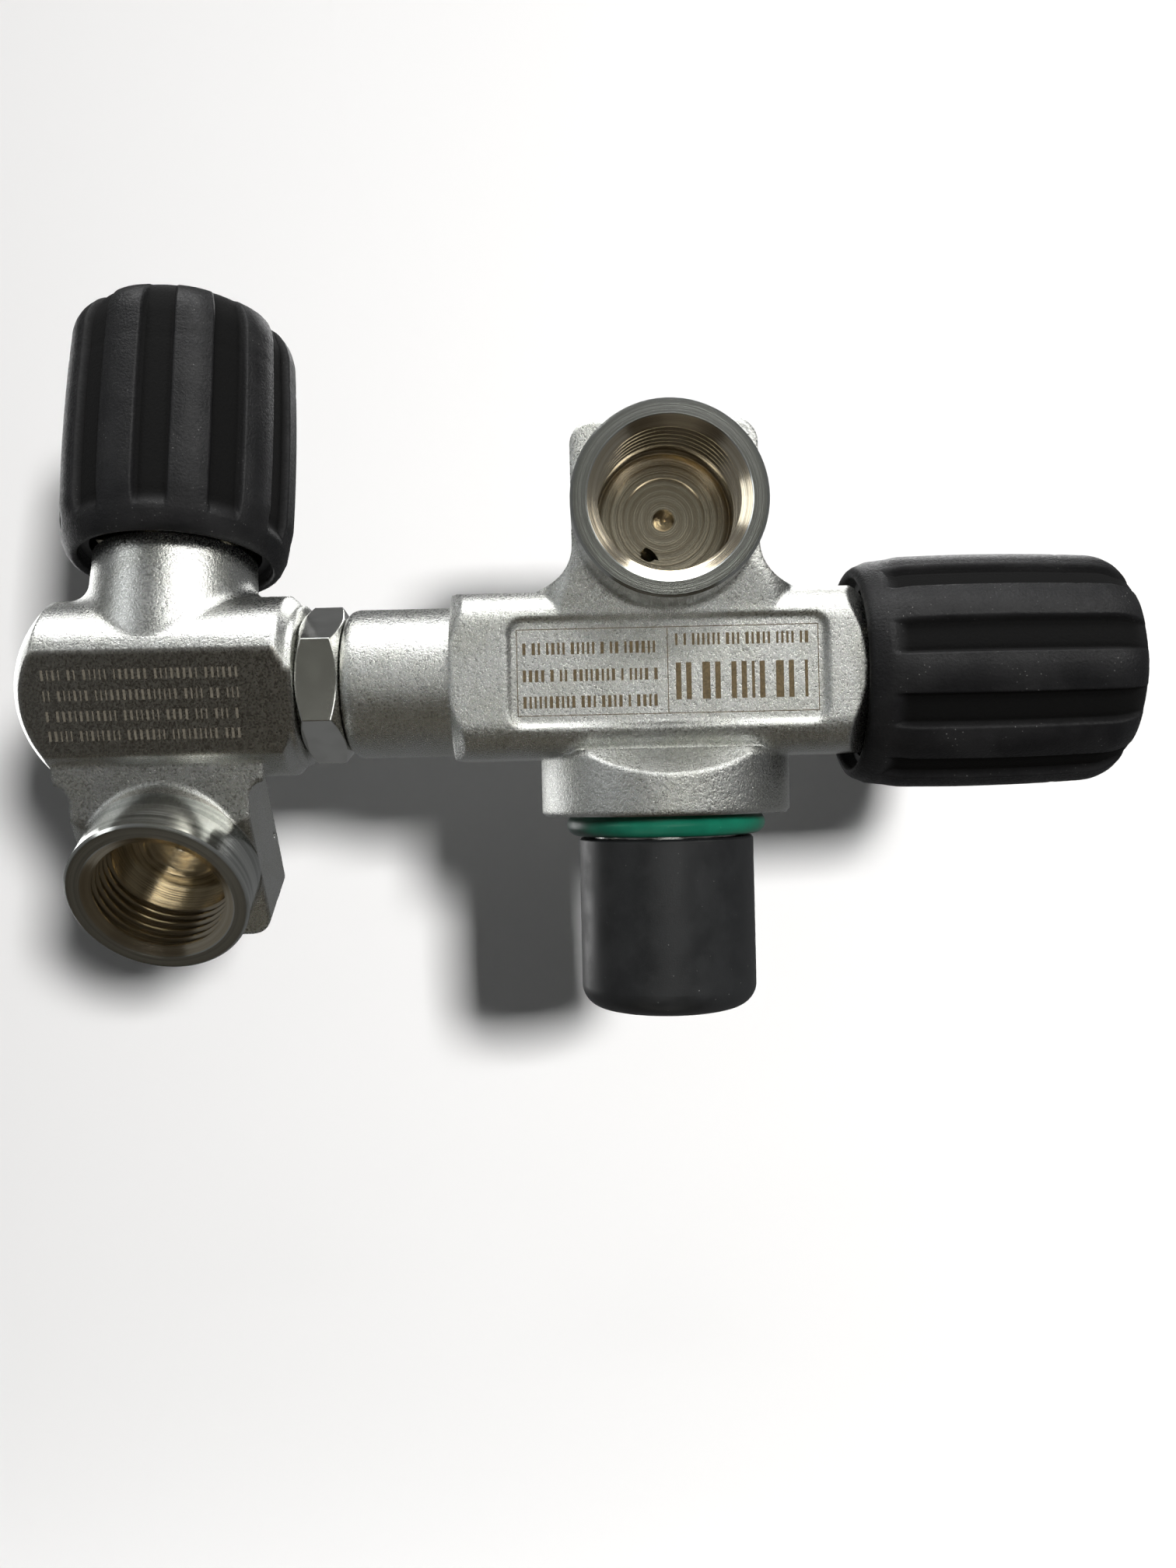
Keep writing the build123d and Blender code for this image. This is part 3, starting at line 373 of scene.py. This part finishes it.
# the sleeve in mm, from the knob joint's place outward
GRIP_RADIUS = 18.35
GRIP_BULGE = 0.6
BULGE_MIDDLE = 16.0
BULGE_REACH = 20.0
GRIP_END = 41.25
HUB_RADIUS = 15.02
HUB_END = 34.03
NUT_HOLE_RADIUS = 7.5
LIP_TOP = 0.9
LIP_OUTLINE = (
    (15.3, LIP_TOP),
    (15.3, -0.7),
    (15.5, -1.2),
    (15.8, -1.45),
    (16.2, -1.4),
    (16.7, -1.05),
    (17.1, -0.5),
    (17.4, 0.3),
)
SIDE_START = 1.2
SIDE_STEP = 0.75
SIDE_ROWS = 45
SKIRT_INSET = 0.9
SKIRT_TOP = 6.0
SEAM_HEIGHT = 30.2
SEAM_DEPTH = 0.07
CROWN_ROWS = 15
CROWN_INSET = 5.7
CROWN_BEND = 0.9

# the lobes and the lands between them, in mm and degrees
GRIP_LOBES = 10
LOBE_ANGLE = 360 / GRIP_LOBES
GRIP_PHASE = 23.4
LAND_DEPTH = 1.45
LAND_HALF_ANGLE = 6.9
LAND_WALL_END = 9.0
LAND_START = 1.6
LAND_FULL = 4.4
CREASE_DEPTH = 0.16
CREASE_ANGLE = 7.0
CREASE_WIDTH = 0.7
LOBE_ROUNDING = 0.28
# angles on one side of a land's middle, close together where the land's wall stands
HALF_STEPS = (1.5, 4, 6, 6.7, 7.3, 7.9, 8.5, 9.1, 9.8, 11, 13, 15.5)
GRIP_STEPS = (-LOBE_ANGLE / 2, *(-step for step in reversed(HALF_STEPS)), *HALF_STEPS)


def grip_outline():
    """(radius, height, depth of the lands from 0 to 1) in mm, once round the sleeve's section."""
    points = [(radius, height, 0) for radius, height in LIP_OUTLINE]
    seam_row = round((SEAM_HEIGHT - SIDE_START) / SIDE_STEP)
    for row in range(SIDE_ROWS):
        height = SIDE_START + row * SIDE_STEP
        bulge = 1 - ((height - BULGE_MIDDLE) / BULGE_REACH) ** 2
        seam = SEAM_DEPTH if row == seam_row else 0.0
        skirt = SKIRT_INSET * (1 - smoothstep(height, 0.0, SKIRT_TOP))
        radius = GRIP_RADIUS + GRIP_BULGE * bulge - seam - skirt
        points.append((radius, height, smoothstep(height, LAND_START, LAND_FULL)))
    side_radius, side_top, _ = points[-1]
    for row in range(1, CROWN_ROWS + 1):
        angle = math.radians(90 / CROWN_ROWS * row)
        radius = side_radius - CROWN_INSET * (1 - math.cos(angle) ** CROWN_BEND)
        height = side_top + (GRIP_END - side_top) * math.sin(angle)
        points.append((radius, height, 1 - smoothstep(row, 5, CROWN_ROWS - 1)))
    end_face = ((11.0, GRIP_END), (8.1, GRIP_END), (7.62, GRIP_END - 0.2), (NUT_HOLE_RADIUS, GRIP_END - 0.7))
    inside = ((NUT_HOLE_RADIUS, HUB_END), (HUB_RADIUS, HUB_END), (HUB_RADIUS, LIP_TOP))
    points += [(radius, height, 0) for radius, height in (*end_face, *inside)]
    return points


def land_cut(off_land):
    """How far the sleeve is cut back, in mm, and how much of that is land, from 0 to 1."""
    wall = 1 - smoothstep(off_land, LAND_HALF_ANGLE, LAND_WALL_END)
    crease = math.exp(-((off_land - CREASE_ANGLE) / CREASE_WIDTH) ** 2)
    crown = LOBE_ROUNDING * (1 - smoothstep(LOBE_ANGLE / 2 - off_land, 2.5, 9.5)) - LOBE_ROUNDING
    return LAND_DEPTH * wall + CREASE_DEPTH * crease - crown * (1 - wall), wall


def rubber_grip(name, joint_name, body, sideways):
    """Rubber sleeve whose lobes stand between flat recessed lands."""
    joint = joints[joint_name]
    origin = Vector(joint["pos_m"])
    out = Vector(joint["axis"]).normalized()
    first = Vector(sideways)
    second = out.cross(first)
    turns = [lobe * LOBE_ANGLE + step for lobe in range(GRIP_LOBES) for step in GRIP_STEPS]
    shell = bmesh.new()
    rows = []
    recesses = []
    for radius, height, land in grip_outline():
        row = []
        for turn in turns:
            off_land = abs((turn + LOBE_ANGLE / 2) % LOBE_ANGLE - LOBE_ANGLE / 2)
            cut, wall = land_cut(off_land)
            angle = math.radians(turn + GRIP_PHASE)
            sideward = first * math.cos(angle) + second * math.sin(angle)
            reach = (radius - land * cut) * MM
            row.append(shell.verts.new(origin + out * height * MM + sideward * reach))
            recesses.append(land * wall)
        rows.append(row)
    for index, row in enumerate(rows):
        after = rows[(index + 1) % len(rows)]
        for here in range(len(turns)):
            there = (here + 1) % len(turns)
            shell.faces.new((row[here], row[there], after[there], after[here])).smooth = True
    bmesh.ops.recalc_face_normals(shell, faces=shell.faces)
    mesh = mesh_of(name, shell)
    # the recess mask: the shader darkens these lands with painted shade and makes them duller
    mesh.attributes.new("recess", "FLOAT", "POINT").data.foreach_set("value", recesses)
    grip = new_piece(name, mesh, slot_materials["black_rubber"], body)
    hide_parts(f"{body}_grip")


rubber_grip("main_rubber_grip", "main_knob_turn", "main_knob", (0, 1, 0))
rubber_grip("side_rubber_grip", "side_knob_turn", "side_knob", (1, 0, 0))


# ---------------------------------------------------------------- laser marks

MARK_HEIGHT = 0.02 * MM
WORD_GAP = 2.2
FINE_STROKES = (0.22, 0.4)
THIN_STROKES = (0.35, 0.5)
BOLD_STROKES = (0.45, 0.8, 1.2)


def mark_row(start, end, middle, tall, widths, gap, seed):
    """Boxes (left, right, bottom, top) in mm that fill a row with upright strokes of mixed width."""
    chance = random.Random(seed)
    boxes = []
    left = start
    while left < end - min(widths):
        right = min(end, left + chance.choice(widths))
        boxes.append((left, right, middle - tall / 2, middle + tall / 2))
        left = right + gap * chance.choice((1, 1, 1, WORD_GAP))
    return boxes


def frame_boxes(left, right, bottom, top, line):
    """Four thin boxes round a rectangle."""
    return [
        (left, right, bottom, bottom + line),
        (left, right, top - line, top),
        (left, left + line, bottom, top),
        (right - line, right, bottom, top),
    ]


def marks(name, boxes, origin, right, up, material, body):
    """Thin raised plates on a flat of the body, each a box in mm from the flat's middle."""
    out = right.cross(up)
    plates = bmesh.new()
    for low_x, high_x, low_y, high_y in boxes:
        corners = [(low_x, low_y), (high_x, low_y), (high_x, high_y), (low_x, high_y)]
        places = [origin + (right * x + up * y) * MM for x, y in corners]
        back = [plates.verts.new(place - out * MARK_HEIGHT) for place in places]
        front = [plates.verts.new(place + out * MARK_HEIGHT) for place in places]
        plates.faces.new(front)
        plates.faces.new(back[::-1])
        for here in range(4):
            there = (here + 1) % 4
            plates.faces.new((back[here], back[there], front[there], front[here]))
    new_piece(name, mesh_of(name, plates), material, body)


# the main label: three rows on the left, two on the right, a frame, and a line between the halves
PANEL_FLOOR = Vector((0, -13.6, 22.0)) * MM
PANEL_LINE = 0.12
main_marks = []
for row, middle in enumerate((3.6, -0.5, -4.5)):
    main_marks += mark_row(-22.0, -1.2, middle, 1.8, THIN_STROKES, 0.42, 11 + row)
main_marks += mark_row(1.2, 21.8, 4.6, 1.8, THIN_STROKES, 0.42, 31)
main_marks += mark_row(1.2, 21.8, -1.7, 5.6, BOLD_STROKES, 0.75, 47)
main_marks += frame_boxes(-22.9, 22.9, -6.6, 6.6, PANEL_LINE)
main_marks.append((-PANEL_LINE / 2, PANEL_LINE / 2, -6.4, 6.4))
marks(
    "main_label_marks",
    main_marks,
    PANEL_FLOOR,
    Vector((1, 0, 0)),
    Vector((0, 0, 1)),
    laser_mark("laser_oxide_brown", (0.075, 0.055, 0.028)),
    "valve_body",
)

side_marks = []
for row, middle in enumerate((4.6, 1.4, -1.8, -4.9)):
    side_marks += mark_row(-15.5, 14.5, middle, 1.6, FINE_STROKES, 0.55, 61 + row)
marks(
    "side_label_marks",
    side_marks,
    label_middle,
    Vector((1, 0, 0)),
    label_up,
    laser_mark("laser_oxide_pale", (0.105, 0.095, 0.075)),
    "side_module",
)


# ---------------------------------------------------------------- stage, light and camera

FLOOR_Z = -170 * MM
WALL_Y = 75 * MM
SWEEP_RADIUS = 150 * MM
SWEEP_STEPS = 12
STAGE_REACH = 2.5
GLOW_START = 0.28
GLOW_FULL = 0.60
ROOM_LIGHT = 0.05
ROOM_LIGHT_IN_METAL = 0.17
WHITE = (1, 1, 1)
ALMOST_WHITE = (1, 0.99, 0.98)
IVORY = (1, 1, 0.98)
MIDDLE = (-0.02, 0, 0.02)


def point_at(thing, place, aim):
    """Puts a light or a card at a place, facing the aim."""
    thing.location = place
    thing.rotation_euler = (Vector(aim) - Vector(place)).to_track_quat("-Z", "Y").to_euler()


def pale_stage():
    """Floor that sweeps up into a wall, glows far from the part and is clear from behind."""
    arc = []
    for step in range(SWEEP_STEPS + 1):
        angle = math.radians(90 / SWEEP_STEPS * step)
        y = WALL_Y - SWEEP_RADIUS * (1 - math.sin(angle))
        z = FLOOR_Z + SWEEP_RADIUS * (1 - math.cos(angle))
        arc.append((y, z))
    line = [(-STAGE_REACH, FLOOR_Z), *arc, (WALL_Y, STAGE_REACH)]
    mesh = bpy.data.meshes.new("pale_sweep")
    verts = [(x, y, z) for y, z in line for x in (-STAGE_REACH, STAGE_REACH)]
    faces = [(2 * i, 2 * i + 1, 2 * i + 3, 2 * i + 2) for i in range(len(line) - 1)]
    mesh.from_pydata(verts, [], faces)
    for face in mesh.polygons:
        face.use_smooth = True
    stage = new_object("pale_sweep", mesh)
    shader = Shader("pale_paper", (0.86, 0.86, 0.86), 0.0, 0.9)
    shader.set("Emission Color", (0.94, 0.94, 0.94, 1))
    shader.set("Emission Strength", shader.ramp(shader.length(shader.place), GLOW_START, GLOW_FULL))
    back = shader.add("ShaderNodeNewGeometry").outputs["Backfacing"]
    clear = shader.add("ShaderNodeBsdfTransparent")
    either = shader.add("ShaderNodeMixShader", {0: back, 1: shader.bsdf.outputs[0], 2: clear.outputs[0]})
    shader.feed(shader.tree.nodes["Material Output"].inputs["Surface"], either.outputs[0])
    mesh.materials.append(shader.material)
    stage.visible_glossy = False
    stage.visible_diffuse = False
    stage.visible_shadow = False


def area_light(name, place, width, height, watts, colour, lights, aim=MIDDLE, spread=180):
    """Soft box that lights "matte" surfaces, with shadows, or "shiny" ones, as their reflection."""
    lamp = bpy.data.lights.new(name, "AREA")
    lamp.shape = "RECTANGLE"
    lamp.size = width
    lamp.size_y = height
    lamp.energy = watts
    lamp.color = colour
    lamp.spread = math.radians(spread)
    light = new_object(name, lamp)
    point_at(light, place, aim)
    light.visible_glossy = lights == "shiny"
    light.visible_diffuse = lights == "matte"


def reflected_card(name, place, width, height, glow):
    """A card of one even brightness that only reflections see."""
    mesh = bpy.data.meshes.new(name)
    x, y = width / 2, height / 2
    mesh.from_pydata([(-x, -y, 0), (x, -y, 0), (x, y, 0), (-x, y, 0)], [], [(0, 1, 2, 3)])
    card = new_object(name, mesh)
    point_at(card, place, MIDDLE)
    shader = Shader(name, (0, 0, 0), 0.0, 1.0)
    shader.set("Specular IOR Level", 0.0)
    shader.set("Emission Color", (*glow, 1))
    shader.set("Emission Strength", 1.0)
    mesh.materials.append(shader.material)
    card.visible_camera = False
    card.visible_shadow = False
    card.visible_diffuse = False


def pale_room():
    """World that the camera sees at full strength, and metal and matte surfaces only dimly."""
    world = bpy.data.worlds.new("pale_room")
    bpy.context.scene.world = world
    world.use_nodes = True
    tree = world.node_tree
    sky = tree.nodes["Background"]
    sky.inputs["Color"].default_value = (0.93, 0.94, 0.95, 1)
    seen = tree.nodes.new("ShaderNodeLightPath")
    total = tree.nodes.new("ShaderNodeValue").outputs[0]
    total.default_value = ROOM_LIGHT_IN_METAL
    for ray, wanted in (("Is Camera Ray", 1), ("Is Diffuse Ray", ROOM_LIGHT)):
        step = tree.nodes.new("ShaderNodeMath")
        step.operation = "MULTIPLY_ADD"
        step.inputs[1].default_value = wanted - ROOM_LIGHT_IN_METAL
        tree.links.new(seen.outputs[ray], step.inputs[0])
        tree.links.new(total, step.inputs[2])
        total = step.outputs[0]
    tree.links.new(total, sky.inputs["Strength"])


pale_room()
pale_stage()

# name, place, width and height in m, then watts, colour and what it lights
area_light("shadow_key", (0.27, -0.72, 0.15), 0.11, 0.11, 8.5, ALMOST_WHITE, "matte")
area_light("floor_wash", (0.0, -0.42, 0.5), 1.2, 0.12, 5.0, WHITE, "matte", aim=(0, -0.42, -0.1), spread=75)
area_light("right_panel", (0.46, -0.44, 0.38), 0.22, 0.26, 1.35, (1, 0.99, 0.96), "shiny")
area_light("left_panel", (-0.54, -0.34, 0.24), 0.16, 0.34, 0.45, (0.96, 0.98, 1), "shiny")
area_light("front_panel", (0.16, -0.60, 0.46), 0.2, 0.14, 1.15, IVORY, "shiny")
area_light("top_panel", (-0.05, -0.14, 0.6), 0.7, 0.2, 3.6, WHITE, "shiny")
area_light("bar_panel", (0.03, -0.62, 0.015), 0.34, 0.05, 0.36, IVORY, "shiny")
area_light("low_panel", (-0.08, -0.32, -0.42), 0.12, 0.08, 0.45, (1, 0.95, 0.85), "shiny")
area_light("back_panel", (0.22, 0.62, 0.55), 0.4, 0.4, 2.4, WHITE, "shiny")
area_light("back_side_panel", (-0.50, 0.42, 0.10), 0.3, 0.5, 1.2, WHITE, "shiny")
area_light("back_fill", (-0.30, 0.60, 0.40), 0.4, 0.4, 3.0, WHITE, "matte")
reflected_card("dim_card", (-0.02, -0.62, 0.12), 0.42, 0.26, (0.13, 0.13, 0.115))
reflected_card("brown_card", (-0.02, -0.60, -0.28), 0.90, 0.54, (0.032, 0.027, 0.02))
reflected_card("under_card", (-0.02, -0.12, -0.30), 0.60, 0.44, (0.05, 0.044, 0.035))

CAMERA_PLACE = (-0.0125, -0.192, 0.005)
CAMERA_LEVEL = math.radians(90)
CAMERA_ROLL = math.radians(1.3)
camera_data = bpy.data.cameras.new("camera")
camera_data.lens = 27.04
camera_data.sensor_width = 36
camera_data.clip_start = 0.005
camera = new_object("camera", camera_data)
camera.location = CAMERA_PLACE
camera.rotation_euler = (CAMERA_LEVEL, CAMERA_ROLL, 0)
bpy.context.scene.camera = camera
bpy.context.scene.view_settings.view_transform = "Standard"
